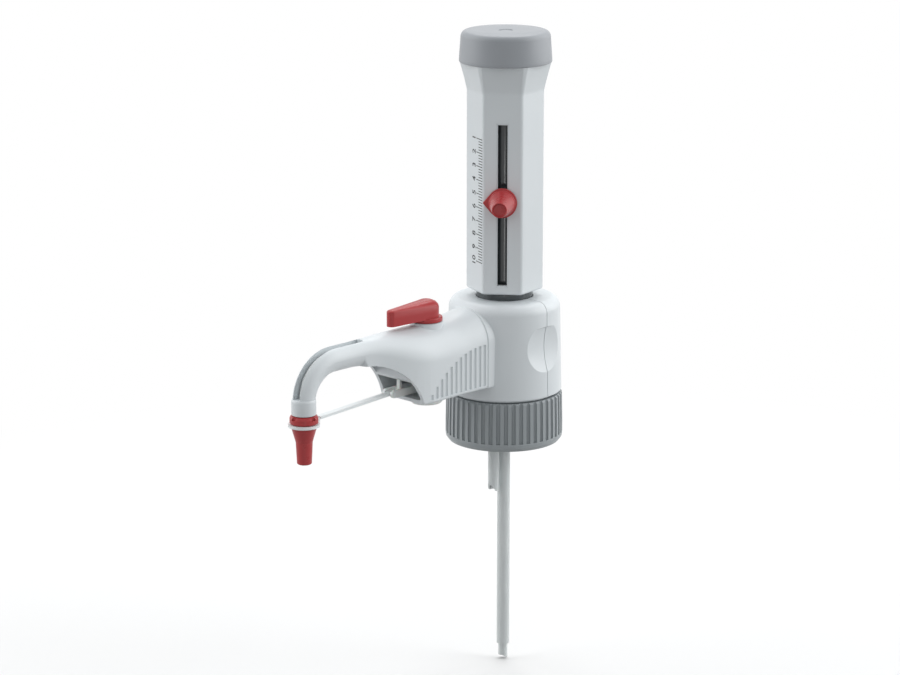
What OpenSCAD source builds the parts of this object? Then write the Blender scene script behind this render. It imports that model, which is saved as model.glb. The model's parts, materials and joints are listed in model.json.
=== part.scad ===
// Bottle-top dispenser for reagent bottles with a 45 mm thread.
// The origin is the centre of the bottle's rim, where the sealing ring rests.
// +Z points up along the bottle's axis and the discharge arm points along -X.

/* [Bottle collar] */
// Outer radius of the bottle's thread
neck_r = 22.5; // [22.0:0.1:23.0]
// Gap between the collar's bore and the bottle's thread
thread_gap = 0.35; // [0.2:0.05:0.6]
// Thickness of the collar's wall at its top
collar_wall = 4; // [3.6:0.05:5.0]
// How much wider the collar is near its foot
collar_flare = 0.3; // [0.2:0.1:0.8]
// Depth of the collar's skirt below the bottle's rim
collar_skirt = 16.5; // [14:0.5:20]
// Number of grip grooves round the collar
collar_grooves = 48; // [36:2:54]
// Radius of one grip groove
groove_r = 0.95; // [0.7:0.05:1.0]
// Height of the smooth band below the grooves
collar_band = 3.6; // [2.5:0.1:5.0]

/* [Valve block] */
// Outer radius of the valve block at its foot
block_r = 26.6; // [26.0:0.1:28.0]
// How much narrower the block is at its top
block_taper = 0.9; // [0.3:0.1:1.5]
// Height of the valve block
block_h = 45; // [44:0.5:50]
// Rounding of the block's upper edge
block_round = 5; // [3:0.5:6]
// Wall of the two block shells
shell_wall = 3; // [2.6:0.1:3.4]
// Depth of the finger recess on each side
recess_depth = 2.2; // [1.0:0.1:2.3]
// Radius of the finger recess
recess_r = 32; // [20:1:40]
// Height of the ledge over the finger recess, above the block's foot
recess_top = 33; // [28:0.5:35]
// Place of the seam between the shells, behind the axis
seam_x = 0.9; // [-1:0.1:3]
// Radius of the dark safety ring under the handle
ring_r = 13; // [12.6:0.1:14]

/* [Pump] */
// Largest volume in millilitres
volume = 10; // [8:1:12]
// Inner radius of the glass cylinder
bore_r = 7.1; // [7.0:0.05:7.3]
// Wall of the glass cylinder
glass_wall = 1.5; // [1.2:0.1:1.6]
// Wall of the dark sleeve round the glass
sleeve_wall = 1.5; // [1.2:0.1:1.6]
// Radius of the piston rod
rod_r = 3; // [2:0.1:4]
// Running gap between the piston and the glass
piston_gap = 0.05; // [0.02:0.01:0.08]

/* [Handle] */
// Distance from the axis to each of the six flat faces
handle_flat = 15.45; // [15.2:0.05:16.5]
// Rounding of the handle's long edges
handle_edge = 2; // [1.5:0.25:4]
// Bore of the handle
handle_bore = 12.9; // [12.8:0.05:13.2]
// Gap between the block and the handle when the piston is down
handle_gap = 3.4; // [3:0.1:5]
// Height of the flare under the cap
flare_h = 13.2; // [10:0.2:16]
// Radius of the cap at its foot
cap_r = 21.1; // [20.6:0.1:22.5]
// Height of the cap
cap_h = 14.2; // [12:0.2:18]
// Width of the pointer's slot
slot_w = 4.4; // [4:0.1:5]
// Turn of the slot from the discharge arm, in degrees
slot_turn = 38.7; // [20:0.5:60]

/* [Volume pointer] */
// Volume that the pointer is set to, in millilitres
set_volume = 5.5; // [3:0.5:7]
// Radius of the pointer's disc
pointer_r = 6.75; // [6:0.25:7.5]
// Reach of the arrow tip from the disc's centre
pointer_tip = 8.8; // [8:0.2:9.4]
// Thickness of the pointer's disc
pointer_t = 1.5; // [1.2:0.1:2]
// Length of the thumb screw's head
knob_len = 15.5; // [12:0.5:18]
// Radius of the thumb screw's head at its root
knob_r = 6.1; // [4.5:0.1:6.4]
// Radius of the thumb screw's head at its end
knob_end_r = 3.4; // [3:0.1:4]

/* [Discharge arm] */
// Distance from the bottle's axis to the spout's axis
reach = 127; // [122:0.2:140]
// Half width of the arm where it meets the block
root_w = 14.5; // [13.6:0.1:15]
// Height of the arm's underside above the block's foot
root_rise = 7.6; // [6:0.2:9]
// Drop of the arm's ridge below the block's top, at the block
ridge_drop = 1.7; // [1.2:0.1:2.2]
// Radius of the round end of the arm
tube_r = 5.5; // [5.2:0.1:6]
// Radius of the arm's bend, at the middle of the tube
bend_r = 16.8; // [14:0.2:20]
// Wall of the arm's housing
arm_wall = 1.8; // [1.5:0.1:2]
// Number of grip grooves on each side of the arm
arm_grooves = 12; // [8:1:12]
// Distance between the arm's grip grooves
arm_groove_pitch = 3.05; // [2.6:0.05:3.1]
// Height of the longest grip groove
arm_groove_h = 18.6; // [12:0.2:20]
// Radius of the arched cut-out under the arm
arch_r = 29.5; // [26:0.5:31]
// Outer radius of the discharge tube
hose_r = 2; // [1.8:0.1:2.1]
// Bore of the discharge tube
hose_bore = 1.1; // [0.8:0.1:1.3]
// Distance from the bottle's axis to the valve lever's axis
lever_x = 51.4; // [49:0.2:53]
// Radius of the lever's disc
disc_r = 7.35; // [7:0.05:8]
// Distance from the lever's axis to its tip
lever_len = 24; // [22:0.5:27]
// Height of the lever above its disc
lever_h = 7.4; // [5:0.2:9]

/* [Spout] */
// Radius of the nozzle ring
nozzle_r = 5.45; // [5.3:0.05:6]
// Height of the nozzle ring
nozzle_h = 7.1; // [5:0.1:8]
// Radius of the screw cap's flange
flange_r = 6.3; // [6.1:0.1:7]
// Length of the screw cap
tip_cap_len = 22.1; // [20:0.1:24]
// Outer radius of the tether's ring
tether_r = 7; // [6.9:0.1:7.5]
// Thickness of the tether
tether_t = 1.2; // [1:0.1:1.3]
// Width of the tether's strap
tether_w = 3; // [2:0.2:4]

/* [Tubes] */
// Outer radius of the filling tube
fill_r = 3; // [2.8:0.1:3.2]
// Length of the outer filling tube
fill_len = 109; // [60:1:150]
// How far the inner filling tube stands out when pushed in
fill_out = 7; // [4:1:20]
// Outer radius of the recirculation tube
recirc_r = 2.5; // [2.2:0.1:2.6]
// Distance from the bottle's axis to the recirculation tube
recirc_x = 7; // [6.9:0.1:9]
// Depth of the recirculation tube's point below the bottle's rim
recirc_len = 41; // [25:1:60]

/* [Hidden] */
$fn = 96;

// Colours, as the object shows them
pale = [0.84, 0.86, 0.87];
mid_grey = [0.60, 0.62, 0.63];
dark_grey = [0.42, 0.45, 0.46];
charcoal = [0.20, 0.21, 0.21];
red = [0.72, 0.16, 0.16];
clear = [0.90, 0.94, 0.95, 0.5];
white = [0.95, 0.95, 0.94];
steel = [0.75, 0.76, 0.78];

// Gaps: a running fit, a gap between seated faces, and a free gap
fit = 0.05;
seat = 0.1;
free = 0.3;
over = 1;
seam_gap = 0.3;
bevel = 0.4;

// Levels of the collar and the block's foot
seal_t = 1;
seal_in_r = 14;
flange_t = 2;
web_t = 3;
flange_z = seal_t + fit;
web_z = flange_z + flange_t + 0.15;
collar_top = web_z + web_t;
collar_bore = neck_r + thread_gap;
collar_r = collar_bore + collar_wall;
core_flange_r = collar_bore - 1.2;
core_neck_r = collar_bore - 5.5;
foot_z = collar_top + free;
block_top = foot_z + block_h;
shell_in_r = block_r - block_taper - shell_wall + 0.5;
screw_room = 8.2;
core_r = shell_in_r - screw_room;
core_base_t = 2;
foot_groove_r = block_r - 2;
foot_groove_h = 0.9;
core_top = block_top - shell_wall;

// Levels of the pump
stroke = volume * 1000 / (PI * bore_r * bore_r);
glass_r = bore_r + glass_wall;
sleeve_in = glass_r + 0.3;
sleeve_r = sleeve_in + sleeve_wall;
glass_z = core_top - 8.3;
handle_z = block_top + handle_gap;
ring_top = handle_z - free;
zero_z = handle_z + stroke + 14.4;
mark_pitch = stroke / volume;
sleeve_top = zero_z + 1;
glass_top = sleeve_top - 2;
slot_z = handle_z + 4.2;
slot_top = zero_z + 0.7;
flare_z = zero_z + 14;
handle_top = flare_z + flare_h;
deck_z = flare_z + 1.5;
deck_t = 3;
cap_z = handle_top + seat;
cap_top = cap_z + cap_h;
cap_wall = 2.4;
spigot_r = cap_r - cap_wall - 0.7;
spigot_h = 6;
piston_z = glass_z + 0.6;
piston_h = 8;
rod_top = deck_z + deck_t + 7;
nut_h = 4;
slot_angle = 180 + slot_turn;

// Places of the pointer
pointer_z = zero_z - set_volume * mark_pitch;
plate_x = handle_flat + 0.25;
shoe_in = sleeve_r + 0.35;
shoe_out = handle_bore - free;
shank_r = 1.6;
shoe_h = 12;
shoe_w = 8;

// Places along the arm
root_x = block_r - 0.5;
under_z = foot_z + root_rise;
ridge_z = block_top - ridge_drop;
crest_z = ridge_z - 2.4;
hose_lift = 1.2;
tube_z = crest_z - 0.3 - tube_r;
hose_z = tube_z + hose_lift;
bend_x = reach - bend_r;
arch_x = 94.5;
arch_z = tube_z - tube_r - 0.15 - arch_r;
carrier_x = 71.8;
carrier_t = 1.2;
carrier_foot = under_z + 10;
root_end = 44;
taper_start = 60;
fall_start = arch_x - 12;
taper_end = arch_x + 5;
lift_start = arch_x - 9;
lift_end = arch_x + 1;
boss_r = disc_r + 0.15;
boss_top = crest_z + 0.9;
disc_z = boss_top + 0.2;
disc_t = 2.1;
barrel_r = disc_r - 0.05;
barrel_z = under_z - 3.5;
valve_r = 2.6;
barrel_step = hose_z - valve_r - 0.1;
barrel_top = crest_z - arm_wall - 1.35;
barrel_neck = 5.2;
plug_r = 3.9;
outlet_z = hose_z - 8.8;
pipe_r = 3;
pipe_bore = 1.5;
valve_x = lever_x + barrel_neck + fit;
valve_len = 23.2;
valve_bore = 1.9;
ball_r = 1.5;
valve_seat_bore = 1;
valve_seat_x = valve_x + 3.2;
ball_x = valve_seat_x + sqrt(ball_r * ball_r - valve_seat_bore * valve_seat_bore) + fit;

// Places at the spout
nozzle_lap = 2.2;
nozzle_top = tube_z - bend_r + nozzle_lap;
nozzle_z = nozzle_top - nozzle_h;
spigot_len = 6.4;
tip_spigot_r = 4.2;
tip_z = nozzle_z - 0.2 - tip_cap_len;
flange_h = 3.7;
groove_h = 1.6;
tip_flange_z = nozzle_z - 0.2 - flange_h;
tether_z = tip_flange_z - groove_h + 0.2;
hinge_x = 74.5;
hinge_z = under_z + 4.9;
pin_r = 0.8;
ear_r = 1.7;
clip_w = tether_w / 2 + 1.6;
strap_x = reach - tether_r - 1.5;
strap_rise = 1;
strap_z = tether_z + tether_t + strap_rise;

// Places of the filling valve and tubes
fill_valve_r = 4.2;
fill_valve_z = -9;
fill_valve_top = foot_z + 1.5;
fill_ball_r = 2;
fill_chamber_r = 2.7;
fill_seat_z = -2;
fill_seat_bore = 1.4;
fill_ball_z = fill_seat_z + sqrt(fill_ball_r * fill_ball_r - fill_seat_bore * fill_seat_bore) + fit;
fill_spigot_r = fill_r - 0.95;
fill_bore = fill_r - 0.8;
fill_end = fill_valve_z - fill_len;
lower_top = fill_valve_z - 9;
vent_x = 10;
vent_z = foot_z + 14;
vent_r = 5;

// A ring between two radii and two heights
module ring(outer, inner, z0, z1) {
  translate([0, 0, z0])
    difference() {
      cylinder(r = outer, h = z1 - z0);
      translate([0, 0, -over]) cylinder(r = inner, h = z1 - z0 + 2 * over);
    }
}

// A solid rod along -X from x = -from to x = -to
module rod_x(r, from, to, z) {
  translate([-from, 0, z]) rotate([0, -90, 0]) cylinder(r = r, h = to - from);
}

// Points of a quarter round from the outer side to the top, for a revolved outline
function fillet(r, z, round) =
  [for (i = [0:8]) [r - round + round * cos(i * 90 / 8), z - round + round * sin(i * 90 / 8)]];

// A closed skin over a list of rings that each have the same number of points
module loft(rings) {
  count = len(rings[0]);
  last = len(rings) - 1;
  sides = [
    for (k = [0:last - 1], i = [0:count - 1])
      let (a = k * count + i, b = k * count + (i + 1) % count)
        each [[a, b, b + count], [a, b + count, a + count]]
  ];
  start = [for (i = [0:count - 1]) count - 1 - i];
  finish = [for (i = [0:count - 1]) last * count + i];
  polyhedron(points = [for (r = rings) each r], faces = concat([start], sides, [finish]), convexity = 6);
}

// Bottle collar

module threaded_collar() {
  foot_r = collar_r + collar_flare;
  groove_x = collar_r + 0.2;
  color(dark_grey)
    difference() {
      rotate_extrude()
        polygon([
          [collar_bore, -collar_skirt + 0.6], [collar_bore + 0.6, -collar_skirt],
          [foot_r - 1.4, -collar_skirt], [foot_r - 0.2, -collar_skirt + 1.6],
          [foot_r, -collar_skirt + 3], [foot_r, -collar_skirt / 2],
          [collar_r, collar_top - 0.8], [collar_r - 0.8, collar_top],
          [core_neck_r + fit, collar_top], [core_neck_r + fit, web_z], [collar_bore, web_z]
        ]);
      for (i = [0:collar_grooves - 1])
        rotate([0, 0, i * 360 / collar_grooves])
          translate([groove_x, 0, collar_band - collar_skirt])
            rotate([0, atan2(collar_flare, -collar_skirt - collar_top) + 180, 0])
              cylinder(r = groove_r, h = 2 * collar_skirt + collar_top, $fn = 24);
    }
}

module rim_seal() {
  color(white) ring(core_flange_r, seal_in_r, 0, seal_t);
}

// Valve block

module block_core() {
  base_r = shell_in_r - seat;
  color(white)
    difference() {
      union() {
        translate([0, 0, flange_z]) cylinder(r = core_flange_r, h = flange_t);
        translate([0, 0, flange_z]) cylinder(r = core_neck_r, h = foot_z - flange_z + over);
        translate([0, 0, foot_z]) cylinder(r = base_r, h = core_base_t);
        translate([0, 0, foot_z]) cylinder(r = core_r, h = core_top - foot_z - seat);
        translate([0, 0, vent_z]) rotate([0, 90, 0]) cylinder(r = vent_r - 2, h = shell_in_r - free);
      }
      translate([0, 0, glass_z]) cylinder(r = glass_r + fit, h = block_h);
      translate([0, 0, foot_z]) cylinder(r = 1.6, h = block_h);
      translate([0, 0, -over]) cylinder(r = fill_valve_r + fit, h = fill_valve_top + over + fit);
      translate([-recirc_x, 0, -over]) cylinder(r = recirc_r + fit, h = foot_z + over);
      rod_x(pipe_bore, 0, core_r + over, outlet_z);
      translate([vent_x, 0, vent_z]) rotate([0, 90, 0]) cylinder(r = 1, h = block_r);
      translate([vent_x, 0, -over]) cylinder(r = 1, h = vent_z + over);
    }
}

module shell_body(grow = 0) {
  top_r = block_r - block_taper + grow;
  rotate_extrude()
    polygon(concat(
      [
        [0, foot_z], [foot_groove_r, foot_z], [foot_groove_r, foot_z + foot_groove_h],
        [block_r - 0.3 + grow, foot_z + foot_groove_h], [block_r + grow, foot_z + foot_groove_h + 0.3]
      ],
      fillet(top_r, block_top + grow, block_round),
      [[0, block_top + grow]]
    ));
}

module shell_hollow() {
  translate([0, 0, foot_z - over]) cylinder(r = shell_in_r, h = block_h - shell_wall + over);
  translate([0, 0, foot_z]) cylinder(r = ring_r + free, h = block_h + over);
}

// Scoop on each side of the block, ended above by a slanting ledge
module finger_recess() {
  ledge_z = foot_z + recess_top;
  for (s = [-1, 1])
    intersection() {
      translate([-block_r, s * (block_r - block_taper / 2 - recess_depth + recess_r), ledge_z - recess_r / 4])
        rotate([0, 90, 0]) cylinder(r = recess_r, h = 2 * block_r);
      translate([0, s * (block_r - recess_depth), ledge_z]) rotate([s * 40, 0, 0])
        translate([-2 * block_r, -2 * block_r, -4 * block_r]) cube(4 * block_r);
    }
}

module front_half(x) {
  translate([-2 * block_r + x, -2 * block_r, -block_h]) cube([2 * block_r, 4 * block_r, 4 * block_h]);
}

// Outline of the arm across its length, widest at the foot and arched on top
function arm_outline(w, low, high, corner) = concat(
  [for (i = [0:20]) [w * cos(i * 9), high - w + w * sin(i * 9)]],
  [for (i = [0:5]) [corner - w + corner * cos(180 + i * 18), low + corner + corner * sin(180 + i * 18)]],
  [for (i = [0:5]) [w - corner + corner * cos(270 + i * 18), low + corner + corner * sin(270 + i * 18)]]
);

function root_ring(x, inset) =
  [for (p = arm_outline(root_w - inset, under_z + inset, ridge_z - inset, 1.2)) [-x, p[0], p[1]]];

module front_shell() {
  color(pale)
    difference() {
      union() {
        intersection() {
          shell_body();
          front_half(seam_x - seam_gap / 2);
        }
        loft([root_ring(core_r, 0), root_ring(root_x - bevel, 0), root_ring(root_x, bevel)]);
      }
      shell_hollow();
      finger_recess();
      loft([root_ring(core_r - over, 2.6), root_ring(block_r + over, 2.6)]);
    }
}

module rear_shell() {
  color(pale)
    difference() {
      shell_body();
      front_half(seam_x + seam_gap / 2);
      shell_hollow();
      finger_recess();
      translate([0, 0, vent_z]) rotate([0, 90, 0]) cylinder(r = vent_r - 1, h = 2 * block_r);
      translate([block_r - block_taper - 0.6, 0, vent_z]) rotate([0, 90, 0]) cylinder(r = vent_r + 0.2, h = block_r);
    }
}

// Two screws in the rear shell's inner wall, which hold it to the core's base
module shell_screws() {
  color(steel)
    for (s = [-1, 1])
      rotate([0, 0, s * 35])
        translate([shell_in_r - 2.6, 0, foot_z + core_base_t + fit]) {
          cylinder(r = 2, h = 1.6);
          translate([0, 0, 1.6]) cylinder(r1 = 2, r2 = 1.4, h = 0.5);
        }
}

module safety_ring() {
  color(charcoal)
    difference() {
      rotate_extrude()
        polygon([
          [sleeve_r + fit, core_top + seat], [ring_r - 0.3, core_top + seat], [ring_r, core_top + 0.4],
          [ring_r, ring_top - 0.5], [ring_r - 0.5, ring_top], [sleeve_r + fit, ring_top]
        ]);
    }
}

module glass_cylinder() {
  color(clear) ring(glass_r, bore_r, glass_z + fit, glass_top);
}

// Dark sleeve with two rails that guide the handle's bore
module cylinder_sleeve() {
  rail_z = ring_top + 2;
  color(charcoal) {
    difference() {
      union() {
        translate([0, 0, core_top + seat]) cylinder(r = sleeve_r, h = sleeve_top - core_top - seat);
        intersection() {
          translate([0, 0, rail_z]) cylinder(r = handle_bore - free, h = sleeve_top - rail_z);
          for (s = [-1, 1])
            rotate([0, 0, slot_angle + s * 115])
              translate([sleeve_r - 0.5, -2, rail_z]) cube([4, 4, sleeve_top - rail_z]);
        }
      }
      translate([0, 0, core_top - over]) cylinder(r = sleeve_in, h = 2 * sleeve_top);
    }
  }
}

module vent_cover() {
  face_x = block_r - block_taper - 0.5;
  color(mid_grey)
    translate([face_x, 0, vent_z]) rotate([0, 90, 0])
      difference() {
        union() {
          cylinder(r1 = vent_r, r2 = vent_r, h = 1.5);
          translate([0, 0, 1.5]) cylinder(r1 = vent_r, r2 = vent_r - 0.8, h = 0.8);
        }
        for (i = [0:3])
          rotate([0, 0, i * 45 + 22.5]) translate([-2.6, -0.4, 1.5]) cube([5.2, 0.8, 2]);
      }
}

module vent_filter() {
  color(white)
    translate([shell_in_r - free + fit, 0, vent_z]) rotate([0, 90, 0])
      cylinder(r = vent_r - 1.2, h = block_r - block_taper - 0.5 - shell_in_r + free - 2 * fit);
}

// Handle

// Six flat faces with rounded edges, as points that run clockwise seen from above
function hex_points(flat, round) = [
  for (k = [0:5], i = [-4:4])
    let (core = (flat - round) / cos(30), a = 30 - k * 60, b = a - i * 7.5)
      [core * cos(a) + round * cos(b), core * sin(a) + round * sin(b)]
];

// The six faces, drawn out to a circle as t goes from 0 to 1
function flare_ring(points, radius, t, z) = [
  for (p = points)
    let (r = norm(p), grown = (r + (radius - r) * t) / r) [p[0] * grown, p[1] * grown, z]
];

module handle_skin() {
  full = hex_points(handle_flat, handle_edge);
  small = hex_points(handle_flat - 0.5, handle_edge);
  top_r = cap_r - 0.3;
  steps = 8;
  loft(concat(
    [flare_ring(small, top_r, 0, handle_z), flare_ring(full, top_r, 0, handle_z + 0.6)],
    [for (i = [0:steps]) flare_ring(full, top_r, pow(i / steps, 1.15), flare_z + flare_h * i / steps)]
  ));
}

module handle_housing() {
  color(pale)
    rotate([0, 0, slot_angle])
      difference() {
        union() {
          handle_skin();
          translate([0, 0, handle_top - over]) cylinder(r = spigot_r, h = spigot_h + over);
        }
        translate([0, 0, handle_z - over]) cylinder(r = handle_bore, h = deck_z - handle_z + over);
        translate([0, 0, deck_z - over]) cylinder(r = rod_r + 0.2, h = deck_t + 2 * over);
        translate([0, 0, deck_z + deck_t]) cylinder(r = spigot_r - 2.4, h = cap_h + 3 * flare_h);
        translate([0, -slot_w / 2, slot_z]) cube([2 * handle_flat, slot_w, slot_top - slot_z]);
        translate([handle_flat - 0.3, -slot_w / 2 - 0.7, slot_z - 0.7])
          cube([1, slot_w + 1.4, slot_top - slot_z + 1.4]);
      }
}

module top_cap() {
  top_r = cap_r - 0.9;
  color(mid_grey)
    difference() {
      rotate_extrude()
        polygon(concat(
          [[0, cap_z], [cap_r - 0.3, cap_z], [cap_r, cap_z + 0.5], [cap_r, cap_z + 1.5]],
          fillet(top_r, cap_top, 3),
          [[0, cap_top]]
        ));
      translate([0, 0, cap_z - over]) cylinder(r = spigot_r + seat, h = cap_h - cap_wall + over);
      translate([0, 0, cap_z]) cylinder(r = 3.2, h = cap_h + over);
    }
}

module cap_plug() {
  color(mid_grey) {
    translate([0, 0, cap_top - cap_wall - 1]) cylinder(r = 4.4, h = 1 - fit);
    translate([0, 0, cap_top - cap_wall - 1]) cylinder(r = 3.2 - fit, h = cap_wall + 0.6);
  }
}

module rod_nut() {
  color(steel)
    translate([0, 0, deck_z + deck_t + fit])
      difference() {
        cylinder(r = rod_r + 3, h = nut_h, $fn = 6);
        translate([0, 0, -over]) cylinder(r = rod_r + fit, h = nut_h + 2 * over);
      }
}

module piston_rod() {
  color(white)
    translate([0, 0, piston_z + piston_h + fit])
      cylinder(r = rod_r, h = rod_top - piston_z - piston_h);
}

module piston() {
  color(white)
    difference() {
      translate([0, 0, piston_z]) cylinder(r = bore_r - piston_gap, h = piston_h);
      ring(bore_r + over, bore_r - 1.1, piston_z + 2.5, piston_z + 5);
    }
}

module piston_seal() {
  color(white) ring(bore_r - piston_gap, bore_r - 1.1 + fit, piston_z + 2.5 + fit, piston_z + 5 - fit);
}

// Volume pointer, drawn with the slot facing +X and then turned to its place

module at_pointer() {
  rotate([0, 0, slot_angle]) translate([0, 0, pointer_z]) rotate([0, 90, 0]) children();
}

module pointer_plate() {
  tip_y = -pointer_tip;
  side = pointer_r * sqrt(1 - pow(pointer_r / pointer_tip, 2));
  touch = -pointer_r * pointer_r / pointer_tip;
  color(red)
    at_pointer()
      difference() {
        union() {
          translate([0, 0, plate_x]) cylinder(r = pointer_r, h = pointer_t);
          translate([0, 0, plate_x])
            linear_extrude(height = pointer_t)
              polygon([[0, 0], [-side, touch], [0, tip_y], [side, touch]]);
          translate([-5, -slot_w / 2 + 0.15, shoe_out + 0.1])
            cube([10, slot_w - 0.3, plate_x - shoe_out]);
        }
        translate([0, 0, shoe_in]) cylinder(r = shank_r + 0.1, h = 2 * handle_flat);
      }
}

// Clamp inside the handle, curved to the bore and drilled for the screw
module clamp_shoe() {
  color(charcoal)
    difference() {
      intersection() {
        ring(shoe_out, shoe_in, pointer_z - shoe_h / 2, pointer_z + shoe_h / 2);
        rotate([0, 0, slot_angle])
          translate([0, -shoe_w / 2, pointer_z - shoe_h / 2]) cube([2 * shoe_out, shoe_w, shoe_h]);
      }
      at_pointer() cylinder(r = shank_r + fit, h = 2 * shoe_out);
    }
}

module thumb_screw() {
  start = plate_x + pointer_t + fit;
  rim_t = 1.2;
  dish = 1.2;
  color(red)
    at_pointer()
      difference() {
        union() {
          translate([0, 0, shoe_in + 0.1]) cylinder(r = shank_r, h = start - shoe_in);
          translate([0, 0, start]) cylinder(r = knob_r, h = rim_t);
          translate([0, 0, start + rim_t]) cylinder(r1 = knob_r - 0.3, r2 = knob_end_r, h = knob_len - rim_t);
        }
        translate([0, 0, start + knob_len - dish])
          cylinder(r1 = knob_end_r - 0.6, r2 = knob_end_r - 0.4, h = dish + 0.01);
      }
}

// Discharge arm

// Half width of the arm at a distance x from the bottle's axis
function arm_w(x) =
  let (t = min(1, max(0, (x - taper_start) / (taper_end - taper_start))))
    tube_r + (root_w - tube_r - 0.3 * min(1, (x - root_x) / 12)) * (0.5 + 0.5 * cos(180 * t));

// Height of the arm's ridge and of its underside at a distance x
function arm_high(x) =
  let (
    t = min(1, max(0, (x - root_x) / (root_end - root_x))),
    f = min(1, max(0, (x - fall_start) / (arch_x + 3 - fall_start)))
  )
    crest_z + (ridge_z - crest_z) * (0.5 + 0.5 * cos(180 * t)) - (crest_z - tube_z - tube_r) * f;
function arm_lift(x) = min(1, max(0, (x - lift_start) / (lift_end - lift_start)));
function arm_low(x) = under_z + 0.3 + (tube_z - tube_r - under_z - 0.5) * arm_lift(x);
function arm_corner(x, w) = 1.2 + (w - 0.1 - 1.2) * arm_lift(x);

// One ring of the straight stretch, smaller all round by the inset
function straight_ring(x, inset) =
  let (w = arm_w(x) - inset)
    [for (p = arm_outline(w, arm_low(x) + inset, arm_high(x) - inset, arm_corner(x, w))) [-x, p[0], p[1]]];

// One ring of the bend, turned down by the angle about the bend's centre
function bend_ring(angle) =
  let (r = tube_r - 0.6 * angle / 90)
    [for (p = arm_outline(r, -r - 0.2, r, r - 0.1))
      [-bend_x - (bend_r + p[1]) * sin(angle), p[0], tube_z - bend_r + (bend_r + p[1]) * cos(angle)]];

module arm_skin() {
  steps = 22;
  start = root_x + fit;
  loft(concat(
    [straight_ring(start, bevel)],
    [for (i = [0:steps]) straight_ring(start + bevel + (bend_x - 4 - start - bevel) * i / steps, 0)],
    [for (a = [0:10:90]) bend_ring(a)]
  ));
}

// Hollow of the arm, crossed by a web that carries the discharge valve
module arm_cavity() {
  steps = 9;
  difference() {
    loft([for (i = [0:steps]) straight_ring(root_x - 1 + (arch_x - 3 - root_x) * i / steps, arm_wall)]);
    translate([-carrier_x - carrier_t, -root_w, carrier_foot]) cube([carrier_t, 2 * root_w, block_h]);
  }
}

// Path of the discharge tube, as a solid of the given radius
module hose_path(r, from, drop) {
  rod_x(r, from, bend_x, hose_z);
  translate([-bend_x, 0, hose_z - bend_r]) rotate([-90, 0, 0]) rotate([0, 0, 180])
    rotate_extrude(angle = 90) translate([bend_r, 0]) circle(r = r);
  translate([-reach, 0, hose_z - bend_r - drop]) cylinder(r = r, h = drop);
}

// Open channel over the tube, along the ridge and round the bend
module hose_channel(width) {
  translate([-bend_x, -width / 2, hose_z]) cube([bend_x - arch_x + 1.5, width, 3 * tube_r]);
  translate([-bend_x, 0, hose_z - bend_r]) rotate([-90, 0, 0]) rotate([0, 0, 180])
    rotate_extrude(angle = 90) translate([bend_r, -width / 2]) square([3 * tube_r, width]);
}

module arm_grip(side) {
  for (i = [0:arm_grooves - 1]) {
    x = root_x + 2.4 + i * arm_groove_pitch;
    long = arm_groove_h * (1 - pow(i / (arm_grooves - 0.5), 2.2)) + 0.6;
    translate([-x, side * (arm_w(x) + 0.25), under_z + 2]) cylinder(r = 0.95, h = long, $fn = 24);
  }
}

module arm_housing() {
  color(pale)
    difference() {
      union() {
        arm_skin();
        translate([-lever_x, 0, boss_top - 8]) cylinder(r = boss_r, h = 8);
      }
      arm_cavity();
      translate([-arch_x, 2 * root_w, arch_z]) rotate([90, 0, 0]) cylinder(r = arch_r, h = 4 * root_w);
      translate([0, 0, foot_z - over]) cylinder(r = block_r + seat, h = 2 * block_h);
      translate([-lever_x, 0, boss_top - 9]) cylinder(r = plug_r + 0.4, h = 10);
      translate([-lever_x, 0, under_z - over]) cylinder(r = barrel_r + 0.2, h = arm_wall + 3);
      hose_path(hose_r + fit, arch_x - 8, 2);
      hose_channel(2 * hose_r + 0.4);
      rod_x(valve_r + fit, carrier_x - over, carrier_x + carrier_t + over, hose_z);
      translate([-reach - 10, -10, nozzle_top - 20]) cube(20);
      arm_grip(-1);
      arm_grip(1);
    }
}

module outlet_pipe() {
  color(white)
    difference() {
      rod_x(pipe_r, core_r + fit, lever_x - barrel_r - fit, outlet_z);
      rod_x(pipe_bore, core_r - over, lever_x, outlet_z);
    }
}

module valve_barrel() {
  color(white)
    difference() {
      union() {
        translate([-lever_x, 0, barrel_z]) cylinder(r1 = barrel_r - 0.6, r2 = barrel_r, h = 0.6);
        translate([-lever_x, 0, barrel_z + 0.6]) cylinder(r = barrel_r, h = barrel_step - barrel_z - 0.6);
        translate([-lever_x, 0, barrel_step]) cylinder(r = barrel_neck, h = barrel_top - barrel_step);
      }
      translate([-lever_x, 0, barrel_z + 2.8]) cylinder(r = plug_r + fit, h = block_h);
      rod_x(pipe_bore, lever_x - barrel_r - over, lever_x, outlet_z);
      rod_x(valve_seat_bore, lever_x, lever_x + barrel_neck + over, hose_z);
    }
}

module valve_plug() {
  color(white)
    difference() {
      translate([-lever_x, 0, barrel_z + 3]) cylinder(r = plug_r, h = disc_z - barrel_z - 3);
      rod_x(1.2, lever_x - plug_r - over, lever_x, outlet_z);
      rod_x(1, lever_x, lever_x + plug_r + over, hose_z);
      translate([-lever_x, 0, outlet_z]) cylinder(r = 1, h = hose_z - outlet_z);
    }
}

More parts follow.
